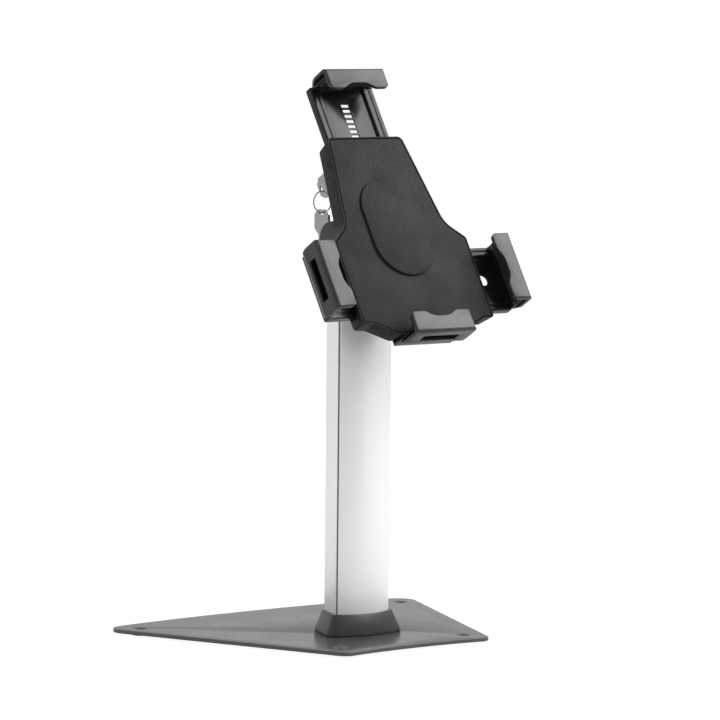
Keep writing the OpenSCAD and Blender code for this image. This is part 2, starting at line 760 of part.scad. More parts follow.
module side_arm(side) {
    color([0.1, 0.1, 0.1]) arm_frame(side) difference() {
        pressed_arm(side_arm_half, side_rail_w, side_arm_len);
        for (y = [-arm_hole_in - arm_hole_w / 2, -arm_hole_in - arm_hole_len + arm_hole_w / 2])
            translate([0, y, 0]) rod(arm_hole_w / 2, web_back_n - cut, web_front_n + cut);
        translate([-arm_hole_w / 2, -arm_hole_in - arm_hole_len + arm_hole_w / 2, web_back_n - cut])
            cube([arm_hole_w, arm_hole_len - arm_hole_w, steel_t + 2 * cut]);
    }
}
module bottom_bracket() {
    foot_y = 0.2 + 15;
    color([0.1, 0.1, 0.1]) arm_frame("bottom") difference() {
        union() {
            folded_tab(side_arm_half, shell_back_n - steel_t - 0.05, tab_top);
            translate([-side_arm_half, -foot_y, shell_back_n - steel_t - 0.05])
                cube([2 * side_arm_half, foot_y + steel_t, steel_t]);
        }
        bracket_holes(1.5 + run_gap);
    }
}
module bracket_holes(r) {
    both_sides() translate([bracket_screw_x, -bottom_fold - bracket_screw_y, 0])
        rod(r, shell_back_n - steel_t - cut, floor_n + cut);
}
module bracket_screws() {
    color([0.6, 0.6, 0.62]) face_frame() at_bracket_screws() {
        rod(1.5, shell_back_n - steel_t - 0.2, floor_n + 2);
        rod(3, shell_back_n - steel_t - 1.6, shell_back_n - steel_t - 0.06);
    }
}

// Hooked claw: an outer wall with a window and a notched lip over the tablet's edge
claw_half = claw_len / 2;
lip_in = claw_out - lip_deep;
notch_in = claw_out - lip_notch;
claw_heel = steel_t + 0.05;
claw_section = [
    [claw_heel, -claw_back - 4, 0.4],
    [claw_heel + 1.2, -claw_back - 4, 0.8],
    [claw_out, -claw_back + 2, 1.5],
    [claw_out, claw_front, 3],
    [lip_in, claw_front, 1.2],
    [lip_in, lip_back_n, 0.8],
    [claw_out - claw_wall, lip_back_n, 1],
    [claw_out - claw_wall, -claw_back + 3, 1],
    [claw_heel, -claw_back - 0.5, 0.6]];
claw_plan_rows = [
    [-claw_half, claw_out + cut, 0],
    [-claw_half, lip_in, 6],
    [-claw_half * 0.56, lip_in, 14],
    [-claw_half * 0.26, notch_in, 14],
    [claw_half * 0.26, notch_in, 14],
    [claw_half * 0.56, lip_in, 14],
    [claw_half, lip_in, 6],
    [claw_half, claw_out + cut, 0]];
claw_face_rows = [
    [-claw_half + 3, -claw_back - 4, 1.5],
    [claw_half - 3, -claw_back - 4, 1.5],
    [claw_half, -claw_back + 6, 3],
    [claw_half, claw_front, 2],
    [-claw_half, claw_front, 2],
    [-claw_half, -claw_back + 6, 3]];
module claw(side) {
    color([0.35, 0.35, 0.35]) arm_frame(side) {
        difference() {
            intersection() {
                rotate([90, 0, 90]) translate([0, 0, -claw_half])
                    linear_extrude(claw_len) polygon(outline(claw_section));
                bar(outline(claw_plan_rows), -claw_back - 4 - cut, claw_front + cut);
                translate([0, claw_out + cut, 0]) rotate([90, 0, 0])
                    linear_extrude(lip_deep + 2 * cut) polygon(outline(claw_face_rows));
            }
            translate([-claw_window_len / 2, 0, 4 - claw_window_h / 2])
                cube([claw_window_len, claw_out + cut, claw_window_h]);
        }
        for (x = [-claw_half + 6, claw_half - 8])
            translate([x, claw_heel, -1])
                cube([2, claw_out - claw_wall - claw_heel + 0.2, lip_back_n + 1.2]);
    }
}

// Rubber grip: one ribbed angle strip on the tab and under the lip
grip_half = claw_half - 2.3;
grip_low = 0.6;
grip_high = lip_back_n - 0.02;
grip_tip = notch_in + 0.6;
grip_section = [
    [-0.02, grip_low],
    [-0.02, grip_high],
    [grip_tip, grip_high],
    [grip_tip, grip_high - grip_t],
    [-grip_t - 3, grip_high - grip_t],
    [-grip_t, grip_high - grip_t - 3],
    [-grip_t, grip_low]];
module grip(side) {
    color([0.06, 0.06, 0.06]) arm_frame(side) {
        rotate([90, 0, 90]) translate([0, 0, -grip_half]) linear_extrude(2 * grip_half) polygon(grip_section);
        for (n = [grip_low + 1.2:rib_pitch:tab_top - 5])
            translate([-grip_half, -grip_t - rib_h, n]) cube([2 * grip_half, rib_h + 0.1, 1]);
        for (y = [grip_tip + 0.8:rib_pitch:-grip_t - 3])
            translate([-grip_half, y, grip_high - grip_t - rib_h]) cube([2 * grip_half, 1, rib_h + 0.1]);
    }
}

// Pinion with involute flanks; its racks have straight flanks of the same pressure angle
pressure = 20;
backlash = 0.12 * gear_module;
tooth_top = 0.9 * gear_module;
tooth_root = 1.2 * gear_module;
function involute_angle(r, base) = sqrt(r * r / (base * base) - 1) * 180 / PI - acos(base / r);
function pinion_points() =
    let (
        base = gear_r * cos(pressure),
        half_tooth = 90 / pinion_teeth - backlash / gear_r * 180 / PI,
        at_pitch = involute_angle(gear_r, base),
        low = max(base, gear_r - tooth_root),
        radii = [for (k = [0:4]) low + (gear_r + tooth_top - low) * k / 4]
    )
    [for (tooth = [0:pinion_teeth - 1])
        let (middle = 90 + tooth * 360 / pinion_teeth)
        each concat(
            [(gear_r - tooth_root)
                * [cos(middle - half_tooth - at_pitch), sin(middle - half_tooth - at_pitch)]],
            [for (r = radii)
                let (angle = middle - half_tooth - at_pitch + involute_angle(r, base))
                r * [cos(angle), sin(angle)]],
            [for (k = [4:-1:0])
                let (r = radii[k], angle = middle + half_tooth + at_pitch - involute_angle(r, base))
                r * [cos(angle), sin(angle)]],
            [(gear_r - tooth_root)
                * [cos(middle + half_tooth + at_pitch), sin(middle + half_tooth + at_pitch)]])];
rack_pitch = PI * gear_module;
function rack_points(from, to) =
    let (
        lean = tan(pressure),
        half_at_pitch = rack_pitch / 4 - backlash,
        tip = half_at_pitch - tooth_top * lean,
        root = half_at_pitch + tooth_root * lean,
        first = ceil((from + root) / rack_pitch - 0.5),
        last = floor((to - root) / rack_pitch - 0.5)
    )
    concat(
        [[to, gear_r + tooth_root], [to, gear_r + 6], [from, gear_r + 6], [from, gear_r + tooth_root]],
        [for (k = [first:last])
            let (middle = (k + 0.5) * rack_pitch)
            each [[middle - root, gear_r + tooth_root], [middle - tip, gear_r - tooth_top],
                  [middle + tip, gear_r - tooth_top], [middle + root, gear_r + tooth_root]]]);
module left_rack_solid() {
    arm_in = -side_fold + side_arm_len;
    rack_out = arm_in - 20;
    translate([0, -side_drop, 0]) {
        bar(rack_points(rack_out, rack_reach), gear_back_n, gear_front_n);
        translate([rack_out, gear_r + tooth_root + 0.3, gear_front_n - 0.1])
            cube([arm_in - rack_out - 1, 4.2, web_back_n - gear_front_n + 0.08]);
    }
}
module left_rack() {
    color([0.55, 0.55, 0.57]) face_frame() left_rack_solid();
}
module right_rack() {
    color([0.55, 0.55, 0.57]) face_frame()
        translate([0, -side_drop, 0]) rotate([0, 0, 180]) translate([0, side_drop, 0]) left_rack_solid();
}
module pinion() {
    color([0.7, 0.62, 0.35]) face_frame() translate([0, -side_drop, 0]) difference() {
        bar(pinion_points(), gear_back_n, gear_front_n);
        rod(post_r + run_gap, gear_back_n - cut, gear_front_n + cut);
    }
}
module pinion_post() {
    color([0.6, 0.6, 0.62]) face_frame() translate([0, -side_drop, 0]) {
        rod(post_r + 1.5, floor_n, gear_back_n - stack_gap);
        rod(post_r, floor_n, gear_front_n + stack_gap);
        rod(post_r + 1.5, gear_front_n + stack_gap, gear_front_n + stack_gap + 1);
    }
}

// Cam lock on the housing's back, with its latch inside
module at_lock() {
    face_frame() translate([lock_x, lock_y, 0]) children();
}
module lock_body() {
    color([0.7, 0.7, 0.72]) at_lock() difference() {
        union() {
            rod(lock_flange_r, lock_face_n + 0.8, boss_n);
            translate([0, 0, lock_face_n])
                cylinder(h = 0.8, r1 = lock_flange_r - 0.8, r2 = lock_flange_r, $fn = round_fn);
            rod(lock_barrel_r, boss_n - cut, plug_end_n);
        }
        rod(plug_r + run_gap, lock_face_n - cut, plug_end_n + cut);
    }
}
module lock_nut() {
    nut_low = shell_back_n - 2.9;
    color([0.6, 0.6, 0.62]) at_lock() difference() {
        translate([0, 0, nut_low]) cylinder(h = 2.6, r = lock_barrel_r + 2.8, $fn = 6);
        rod(lock_barrel_r + run_gap, nut_low - cut, nut_low + 4);
    }
}
module lock_plug() {
    color([0.75, 0.75, 0.77]) at_lock() difference() {
        rod(plug_r, lock_face_n + 0.2, plug_end_n);
        translate([-key_t / 2 - 0.1, -key_blade_w / 2 - 0.1, lock_face_n - cut])
            cube([key_t + 0.2, key_blade_w + 0.2, plug_end_n - lock_face_n + cut - 1.5]);
    }
}
module lock_cam() {
    cam_low = plug_end_n + 0.02;
    cam_top = cam_low + 1;
    color([0.6, 0.6, 0.62]) at_lock() {
        rod(plug_r, cam_low, cam_top);
        translate([-3, -8, cam_low]) cube([6, 8, cam_top - cam_low]);
        translate([0, -8, 0]) rod(3, cam_low, cam_top);
        translate([0, -8, 0]) rod(1.2, cam_top - 0.1, cam_top + 0.4);
    }
}
// The latch: a plate with a tooth that enters a rack window when the key is turned
module latch_pawl() {
    plate_low = floor_n + 0.2;
    plate_top = plate_low + 1.2;
    color([0.5, 0.5, 0.52]) face_frame() translate([0, lock_y, 0]) difference() {
        union() {
            translate([-2.5, -3, plate_low]) cube([12, 6, plate_top - plate_low]);
            translate([lock_x + 7, -2, plate_low]) cube([-lock_x - 7, 4, plate_top - plate_low]);
            translate([-window_w / 2 + 0.5, -window_h / 2 + 0.3, plate_top - 0.1])
                cube([window_w - 2.5, window_h - 0.6, latch_rise + 0.1]);
        }
        translate([7, 0, 0]) rod(1.15, plate_low - cut, plate_top + cut);
    }
}

// Keys: the plane of a key is square to x; here z runs along the blade and y across it
module key_solid() {
    bow_end = -key_len;
    neck = bow_end + key_bow_len;
    half = key_bow_w / 2;
    blade = key_blade_w / 2;
    rows = [
        [-half, bow_end + 4, 1.2], [-half + 4, bow_end, 1.2],
        [half - 4, bow_end, 1.2], [half, bow_end + 4, 1.2],
        [half, neck - 5, 1.2], [half - 5, neck, 1], [blade, neck + 0.2, 0.6], [blade, -9, 0],
        [blade - 1, -7.6, 0], [blade, -6.2, 0], [blade - 1.6, -4.4, 0], [blade - 0.6, -3, 0],
        [blade - 2.4, -1.5, 0], [0.4, 0, 0.3], [-blade, -2.2, 0.4], [-blade, neck + 0.2, 0.6],
        [-half + 5, neck, 1], [-half, neck - 5, 1.2]];
    slot_z = bow_end + key_slot_in;
    end_y = (key_slot_len - key_slot_w) / 2;
    rotate([90, 0, 90]) difference() {
        bar(outline(rows), -key_t / 2, key_t / 2);
        for (y = [-end_y, end_y]) translate([y, slot_z, 0]) rod(key_slot_w / 2, -key_t, key_t);
        translate([-end_y, slot_z - key_slot_w / 2, -key_t]) cube([2 * end_y, key_slot_w, 2 * key_t]);
    }
}
module key() {
    color([0.7, 0.7, 0.72]) at_lock() translate([0, 0, key_tip_n]) key_solid();
}
module key_ring() {
    color([0.7, 0.7, 0.72]) stand_frame() translate([lock_x, ring_centre[0], ring_centre[1]])
        rotate([90, 0, 0]) rotate_extrude($fn = round_fn)
        translate([ring_r, 0]) circle(r = ring_wire_r, $fn = 16);
}
module spare_key() {
    color([0.7, 0.7, 0.72]) stand_frame()
        translate([lock_x, spare_slot[0], spare_slot[1] - key_len + key_slot_in])
        mirror([0, 0, 1]) key_solid();
}

base_plate();
foot(-front_hole_x, front_hole_y);  // foot_front_left
foot(front_hole_x, front_hole_y);  // foot_front_right
foot(-rear_hole_x, rear_hole_y);  // foot_rear_left
foot(rear_hole_x, rear_hole_y);  // foot_rear_right
base_screws();
pole_collar();
pole();
pole_cap();
cap_screws();
tilt_yoke();
hinge_bolt();
hinge_nut();
hinge_cap_left();
hinge_cap_right();
friction_washers();
swivel_washer();
swivel_disc();
swivel_screws();
back_shell();
front_panel();
oval_pad();
panel_screws();
top_arm();
side_arm("left");  // left_arm
side_arm("right");  // right_arm
left_rack();
right_rack();
pinion();
pinion_post();
bottom_bracket();
bracket_screws();
claw("top");  // top_claw
claw("left");  // left_claw
claw("right");  // right_claw
claw("bottom");  // bottom_claw
grip("top");  // top_grip
grip("left");  // left_grip
grip("right");  // right_grip
grip("bottom");  // bottom_grip
lock_body();
lock_nut();
lock_plug();
lock_cam();
latch_pawl();
key();
key_ring();
spare_key();
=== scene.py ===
# %% [markdown]
# # A lockable tablet stand, dressed for the studio
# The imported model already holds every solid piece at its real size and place. This script
# gives each piece its finish, rounds the edges that a mould or a press would round, presses
# fine grooves into the pole's corners, and lights it all like a catalogue picture.

# %% Load the fixed frame
import json
import math

import bpy
from mathutils import Matrix, Vector


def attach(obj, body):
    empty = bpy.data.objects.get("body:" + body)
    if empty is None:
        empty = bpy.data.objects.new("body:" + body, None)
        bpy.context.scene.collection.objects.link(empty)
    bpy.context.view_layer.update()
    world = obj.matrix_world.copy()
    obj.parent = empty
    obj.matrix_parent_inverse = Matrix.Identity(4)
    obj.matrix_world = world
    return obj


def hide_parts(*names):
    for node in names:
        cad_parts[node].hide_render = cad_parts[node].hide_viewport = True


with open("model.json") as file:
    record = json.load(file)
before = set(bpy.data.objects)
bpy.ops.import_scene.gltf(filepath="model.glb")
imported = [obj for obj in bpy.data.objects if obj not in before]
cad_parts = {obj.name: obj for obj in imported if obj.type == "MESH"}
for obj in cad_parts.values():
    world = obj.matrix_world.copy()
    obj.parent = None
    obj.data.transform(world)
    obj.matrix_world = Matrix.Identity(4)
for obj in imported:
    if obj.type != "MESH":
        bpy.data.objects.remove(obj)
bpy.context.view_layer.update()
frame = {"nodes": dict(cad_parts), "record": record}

nodes = frame["nodes"]

# %% [markdown]
# ## The camera
# The photograph was taken with a long lens from the front left, a little above the head.
# Its place was worked out from straight edges of known direction: the pole, the corners of
# the plate and the edges of the head. A long lens keeps the pole's sides nearly parallel.

# %% Camera
STAND_AXIS_Y = -0.01236
PHOTO_PX = 720
FOCAL_PX = 4298.0
SENSOR_MM = 36.0
AZIMUTH = math.radians(37.735)
PITCH = math.radians(5.068)
ROLL = 0.01026
CAMERA_PLACE = Vector((-2.0754, -2.6851 + STAND_AXIS_Y, 0.5234))
NEAREST_SEEN = 0.1
FARTHEST_SEEN = 60

forward = Vector((
    math.sin(AZIMUTH) * math.cos(PITCH),
    math.cos(AZIMUTH) * math.cos(PITCH),
    -math.sin(PITCH),
))
level = Vector((math.cos(AZIMUTH), -math.sin(AZIMUTH), 0))
above = level.cross(forward)
side = level * math.cos(ROLL) + above * math.sin(ROLL)
top = above * math.cos(ROLL) - level * math.sin(ROLL)

camera_data = bpy.data.cameras.new("studio_camera")
camera_data.sensor_width = SENSOR_MM
camera_data.lens = FOCAL_PX * SENSOR_MM / PHOTO_PX
camera_data.clip_start = NEAREST_SEEN
camera_data.clip_end = FARTHEST_SEEN
camera = bpy.data.objects.new("studio_camera", camera_data)
scene = bpy.context.scene
scene.collection.objects.link(camera)
turn = Matrix((side, top, -forward)).transposed()
camera.matrix_world = Matrix.Translation(CAMERA_PLACE) @ turn.to_4x4()
scene.camera = camera
print("lens", round(camera_data.lens, 1), "mm")

# %% [markdown]
# ## Studio
# A pale floor, a white surround and four large soft lamps. The surround is white to the
# camera and lights the pale pole evenly. In mirror images it is greyer where the
# photographer stands, which shades the pole's curved front from left to right. The strongest
# lamp hangs where the faces of the claws mirror it to the camera.


# %% Node helpers
def feed(tree, value, socket):
    """Sets a number on a socket, or links another node's output to it."""
    if isinstance(value, (int, float)):
        socket.default_value = value
    else:
        tree.links.new(value, socket)


def arithmetic(tree, operation, *values):
    """A Math node on numbers and sockets."""
    node = tree.nodes.new("ShaderNodeMath")
    node.operation = operation
    for value, socket in zip(values, node.inputs):
        feed(tree, value, socket)
    return node.outputs[0]


def mix_shaders(tree, share, first, second):
    """A mix of two shaders; a share of 1 shows the second alone."""
    node = tree.nodes.new("ShaderNodeMixShader")
    for value, socket in zip((share, first, second), node.inputs):
        feed(tree, value, socket)
    return node.outputs["Shader"]


# %% World
SURROUND_SEEN = 1.0
SURROUND_LIGHT = 0.90
SURROUND_MIRRORED = 0.91
MIRRORED_GREY = 0.8
PHOTOGRAPHER = (-0.57, -0.82, 0.0)
PHOTOGRAPHER_WIDTH = (0.25, 1.0)
PHOTOGRAPHER_DARKER_BY = 0.40
scene.view_settings.view_transform = "Standard"
world = bpy.data.worlds.new("white_surround")
scene.world = world
world.use_nodes = True
room = world.node_tree
room.nodes.clear()
room_path = room.nodes.new("ShaderNodeLightPath")
room_out = room.nodes.new("ShaderNodeOutputWorld")


def surround(strength, grey=1):
    """A plain background of one grey, with a number or a socket for its strength."""
    node = room.nodes.new("ShaderNodeBackground")
    node.inputs["Color"].default_value = (grey, grey, grey, 1)
    feed(room, strength, node.inputs["Strength"])
    return node.outputs["Background"]


def mirrored_strength(tree, direction):
    """How bright the surround looks in a mirror, for a unit direction in the room."""
    facing = tree.nodes.new("ShaderNodeVectorMath")
    facing.operation = "DOT_PRODUCT"
    facing.inputs[1].default_value = PHOTOGRAPHER
    tree.links.new(direction, facing.inputs[0])
    strength = tree.nodes.new("ShaderNodeMapRange")
    strength.interpolation_type = "SMOOTHSTEP"
    strength.inputs["From Min"].default_value = PHOTOGRAPHER_WIDTH[0]
    strength.inputs["From Max"].default_value = PHOTOGRAPHER_WIDTH[1]
    strength.inputs["To Min"].default_value = SURROUND_MIRRORED
    strength.inputs["To Max"].default_value = SURROUND_MIRRORED - PHOTOGRAPHER_DARKER_BY
    tree.links.new(facing.outputs["Value"], strength.inputs["Value"])
    return strength.outputs["Result"]


direction = room.nodes.new("ShaderNodeTexCoord").outputs["Generated"]
in_metal = surround(mirrored_strength(room, direction), MIRRORED_GREY)
is_glossy, is_camera = room_path.outputs["Is Glossy Ray"], room_path.outputs["Is Camera Ray"]
unseen = mix_shaders(room, is_glossy, surround(SURROUND_LIGHT), in_metal)
shown = mix_shaders(room, is_camera, unseen, surround(SURROUND_SEEN))
room.links.new(shown, room_out.inputs["Surface"])
print("surround", SURROUND_LIGHT, "as light,", SURROUND_MIRRORED, "in mirrors")

# %% Floor
# The camera sees white paper with a faint shadow round the plate. Mirror images see the
# brightness of the surround instead. It fades in away from the plate, so that the
# undersides of the claws stay dark.
FLOOR_SIZE = 2.6
FLOOR_DROP = 0.0002
FLOOR_MATT = 0.7
FLOOR_SHADOW = 0.16
FLOOR_WHITE = 1.12
SHADOW_REACH = (0.45, 0.9)
MIRRORED_REACH = (0.16, 0.45)
MIRRORED_AT_PLATE = 0.45
bpy.ops.mesh.primitive_plane_add(size=FLOOR_SIZE, location=(0, 0, -FLOOR_DROP))
floor = bpy.context.object
floor.name = "studio_floor"
paper = bpy.data.materials.new("studio_paper")
paper.use_nodes = True
sheet = paper.node_tree
sheet.nodes.clear()
sheet_path = sheet.nodes.new("ShaderNodeLightPath")
matt = sheet.nodes.new("ShaderNodeBsdfDiffuse")
matt.inputs["Color"].default_value = (FLOOR_MATT, FLOOR_MATT, FLOOR_MATT, 1)
centre = sheet.nodes.new("ShaderNodeTexCoord").outputs["Object"]
away = sheet.nodes.new("ShaderNodeVectorMath")
away.operation = "LENGTH"
sheet.links.new(centre, away.inputs[0])
outward = sheet.nodes.new("ShaderNodeVectorMath")
outward.operation = "NORMALIZE"
sheet.links.new(centre, outward.inputs[0])


def glow_over(shader, ray, reach, at_near, strength):
    """Adds a glow that one kind of ray sees, and that fades in over a reach of distances."""
    fade = sheet.nodes.new("ShaderNodeMapRange")
    fade.inputs["From Min"].default_value = reach[0]
    fade.inputs["From Max"].default_value = reach[1]
    fade.inputs["To Min"].default_value = at_near
    sheet.links.new(away.outputs["Value"], fade.inputs["Value"])
    share = arithmetic(sheet, "MULTIPLY", sheet_path.outputs[ray], fade.outputs["Result"])
    glow = sheet.nodes.new("ShaderNodeEmission")
    feed(sheet, strength, glow.inputs["Strength"])
    return mix_shaders(sheet, share, shader, glow.outputs["Emission"])


mirrored = mirrored_strength(sheet, outward.outputs["Vector"])
lit = matt.outputs["BSDF"]
lit = glow_over(lit, "Is Glossy Ray", MIRRORED_REACH, MIRRORED_AT_PLATE, mirrored)
lit = glow_over(lit, "Is Camera Ray", SHADOW_REACH, 1 - FLOOR_SHADOW, FLOOR_WHITE)
sheet_out = sheet.nodes.new("ShaderNodeOutputMaterial")
sheet.links.new(lit, sheet_out.inputs["Surface"])
floor.data.materials.append(paper)
print("floor", FLOOR_SIZE, "m wide")

# %% Lamps
# Each row holds a name, the direction from the head, the distance, width and height in
# metres, the power in watts, and whether metal mirrors the lamp.
HEAD_CENTRE = Vector((0, -0.03, 0.33))
LAMPS = [
    ("lamp_claws", (0.61, -0.44, 0.66), 1.7, 1.5, 1.2, 28, True),
    ("lamp_front", (-0.35, -1.0, 0.55), 2.2, 1.2, 1.6, 3, False),
    ("lamp_left", (-1.0, -0.05, 0.25), 1.9, 0.8, 1.8, 2, False),
    ("lamp_back", (0.4, 1.0, 0.9), 2.2, 1.6, 1.0, 2, True),
]


def softbox(name, direction, distance, width, height, power, mirrored):
    """A rectangular lamp that faces the head from a direction."""
    data = bpy.data.lights.new(name, "AREA")
    data.shape = "RECTANGLE"
    data.size = width
    data.size_y = height
    data.energy = power
    lamp = bpy.data.objects.new(name, data)
    scene.collection.objects.link(lamp)
    outward = Vector(direction).normalized()
    lamp.location = HEAD_CENTRE + outward * distance
    lamp.rotation_mode = "QUATERNION"
    lamp.rotation_quaternion = outward.to_track_quat("Z", "Y")
    lamp.visible_glossy = mirrored


for row in LAMPS:
    softbox(*row)

# %% [markdown]
# ## Shared surface effects
# Moulded plastic, powder coat and rolled metal all differ in their finest detail. Four node
# groups make that detail and the marks of use once. Each material places them with its own
# scale and depth. They read Object coordinates, which are metres on this part, so a scale of
# 1000 is 1 mm.


# %% Node group helpers
def new_group(name, inputs, outputs):
    """A shader node group with float inputs and named outputs."""
    group = bpy.data.node_groups.new(name, "ShaderNodeTree")
    for label, value in inputs:
        socket = group.interface.new_socket(
            label, in_out="INPUT", socket_type="NodeSocketFloat")
        socket.default_value = value
    for label in outputs:
        group.interface.new_socket(label, in_out="OUTPUT", socket_type="NodeSocketFloat")
    return group, group.nodes.new("NodeGroupInput"), group.nodes.new("NodeGroupOutput")


def noise(tree, vector, scale, detail):
    """A Noise texture's grey value."""
    node = tree.nodes.new("ShaderNodeTexNoise")
    node.inputs["Detail"].default_value = detail
    tree.links.new(vector, node.inputs["Vector"])
    tree.links.new(scale, node.inputs["Scale"])
    return node.outputs["Fac"]


# %% Moulded grain
# A spark-eroded mould leaves small rounded pits, with a slower drift in tone over them.
GRAIN_DETAIL = 3
GRAIN_SHARE = 0.6
grain, given, result = new_group(
    "moulded_grain", [("Scale", 1400), ("Drift", 60)], ["Height", "Shade"])
place = grain.nodes.new("ShaderNodeTexCoord").outputs["Object"]
pits = grain.nodes.new("ShaderNodeTexVoronoi")
pits.feature = "SMOOTH_F1"
grain.links.new(place, pits.inputs["Vector"])
grain.links.new(given.outputs["Scale"], pits.inputs["Scale"])
fine = noise(grain, place, given.outputs["Scale"], GRAIN_DETAIL)
slow = noise(grain, place, given.outputs["Drift"], GRAIN_DETAIL)
pitted = arithmetic(grain, "ADD", pits.outputs["Distance"], fine)
fine_part = arithmetic(grain, "MULTIPLY", fine, GRAIN_SHARE)
slow_part = arithmetic(grain, "MULTIPLY", slow, 1 - GRAIN_SHARE)
grain.links.new(pitted, result.inputs["Height"])
grain.links.new(arithmetic(grain, "ADD", fine_part, slow_part), result.inputs["Shade"])
print("moulded grain:", len(grain.nodes), "shader nodes")

# %% Drawn metal
# An extrusion die and a polishing belt leave lines along one direction only, so the noise is
# squeezed across that direction and stretched along it.
LINE_DETAIL = 4
ALONG_Z = (1.0, 1.0, 0.004)
ALONG_X = (0.01, 1.0, 1.0)


def drawn_group(name, stretch):
    """Fine lines along one axis: stretch holds the scale along x, y and z."""
    group, given, result = new_group(name, [("Scale", 900)], ["Height", "Shade"])
    place = group.nodes.new("ShaderNodeTexCoord").outputs["Object"]
    squeeze = group.nodes.new("ShaderNodeMapping")
    squeeze.inputs["Scale"].default_value = stretch
    group.links.new(place, squeeze.inputs["Vector"])
    lines = noise(group, squeeze.outputs["Vector"], given.outputs["Scale"], LINE_DETAIL)
    group.links.new(lines, result.inputs["Height"])
    group.links.new(lines, result.inputs["Shade"])
    return group


drawn_up = drawn_group("drawn_along_z", ALONG_Z)
drawn_across = drawn_group("drawn_along_x", ALONG_X)
print("drawn metal:", drawn_up.name, drawn_across.name)

# %% Dust and handling
# Hands and dust change how rough a surface is before they change its colour.
PATCH_DETAIL = 5
PATCH_FROM = 0.42
PATCH_CONTRAST = 4
handled, given, result = new_group("handling", [("Scale", 35)], ["Mask"])
place = handled.nodes.new("ShaderNodeTexCoord").outputs["Object"]
patches = noise(handled, place, given.outputs["Scale"], PATCH_DETAIL)
raised = arithmetic(handled, "SUBTRACT", patches, PATCH_FROM)
ramp = arithmetic(handled, "MULTIPLY", raised, PATCH_CONTRAST)
clamp = handled.nodes.new("ShaderNodeClamp")
handled.links.new(ramp, clamp.inputs["Value"])
handled.links.new(clamp.outputs["Result"], result.inputs["Mask"])
print("groups", [g.name for g in bpy.data.node_groups])

# %% [markdown]
# ## Materials
# One material for each slot of the record, and one for the shade in the pole's grooves. Each
# mixes two tones by its fine detail, lets handling change its roughness, and raises its
# detail with a Bump node. The constants, such as metallic, are set on the shader itself.


# %% Material maker
def tone(value):
    """A neutral tone, or a colour, as RGBA."""
    return (value, value, value, 1) if isinstance(value, (int, float)) else (*value, 1)


def finish(name, dark, light, rough, rough_used, detail, scale, depth, distance, **constants):
    """A material from two tones, two roughness values and one shared detail group."""
    material = bpy.data.materials.new(name)
    material.use_nodes = True
    tree = material.node_tree
    shader = tree.nodes["Principled BSDF"]
    for socket, value in constants.items():
        shader.inputs[socket.replace("_", " ")].default_value = value
    fine = tree.nodes.new("ShaderNodeGroup")
    fine.node_tree = detail
    fine.inputs["Scale"].default_value = scale
    used = tree.nodes.new("ShaderNodeGroup")
    used.node_tree = handled
    blend = tree.nodes.new("ShaderNodeMix")
    blend.data_type = "RGBA"
    blend.inputs["A"].default_value = tone(dark)
    blend.inputs["B"].default_value = tone(light)
    tree.links.new(fine.outputs["Shade"], blend.inputs["Factor"])
    tree.links.new(blend.outputs["Result"], shader.inputs["Base Color"])
    span = arithmetic(tree, "MULTIPLY", used.outputs["Mask"], rough_used - rough)
    tree.links.new(arithmetic(tree, "ADD", span, rough), shader.inputs["Roughness"])
    bump = tree.nodes.new("ShaderNodeBump")
    bump.inputs["Strength"].default_value = depth
    bump.inputs["Distance"].default_value = distance
    tree.links.new(fine.outputs["Height"], bump.inputs["Height"])
    tree.links.new(bump.outputs["Normal"], shader.inputs["Normal"])
    return material


# %% The finishes
# Each row holds the dark and the light tone, the clean and the handled roughness, the detail
# with its scale, and the strength and the height in metres of its bumps.
materials = {
    "base_paint": finish(
        "powder_coat", 0.045, 0.068, 0.25, 0.29, grain, 3200, 0.05, 0.0001),
    "black_rubber": finish(
        "black_rubber", 0.006, 0.016, 0.6, 0.75, grain, 900, 0.4, 0.0003),
    "collar_plastic": finish(
        "collar_plastic", 0.012, 0.024, 0.34, 0.42, grain, 1600, 0.12, 0.0002),
    "pole_aluminium": finish(
        "satin_aluminium", 0.86, 0.92, 0.34, 0.40, drawn_up, 1500, 0.08, 0.0001,
        Metallic=0.5),
    # painted shade: a dark finish that stands in for the shadow inside the pole's grooves
    "groove_shade": finish(
        "groove_shade", 0.11, 0.15, 0.5, 0.6, drawn_up, 1500, 0.05, 0.0001),
    "cast_black": finish(
        "painted_casting", 0.010, 0.024, 0.38, 0.5, grain, 700, 0.3, 0.0004),
    "zinc": finish(
        "zinc_plate", 0.45, 0.62, 0.3, 0.42, drawn_across, 1500, 0.1, 0.0001,
        Metallic=1.0),
    "washer_plastic": finish(
        "washer_plastic", 0.42, 0.52, 0.4, 0.5, grain, 900, 0.1, 0.0002),
    "housing_plastic": finish(
        "housing_grain", 0.003, 0.018, 0.50, 0.58, grain, 1150, 0.8, 0.0003,
        Specular_IOR_Level=0.18),
    "pad_plastic": finish(
        "pad_grain", 0.003, 0.020, 0.50, 0.58, grain, 1150, 0.8, 0.0003,
        Specular_IOR_Level=0.18),
    "black_steel": finish(
        "black_enamel", 0.004, 0.007, 0.24, 0.30, grain, 260, 0.05, 0.0003,
        Specular_IOR_Level=0.4),
    "claw_plastic": finish(
        "claw_grain", 0.010, 0.024, 0.32, 0.40, grain, 2400, 0.14, 0.0002),
    "pinion_brass": finish(
        "turned_brass", (0.50, 0.36, 0.14), (0.66, 0.5, 0.22), 0.3, 0.4,
        drawn_across, 1500, 0.1, 0.0001, Metallic=1.0),
    "lock_nickel": finish(
        "lock_nickel", 0.50, 0.64, 0.18, 0.28, drawn_across, 1800, 0.06, 0.0001,
        Metallic=1.0),
    "key_nickel": finish(
        "key_nickel", 0.34, 0.46, 0.2, 0.32, drawn_across, 1800, 0.1, 0.0001,
        Metallic=1.0),
}
slot_of = {row["node"]: row["material_slot"] for row in frame["record"]["subparts"]}
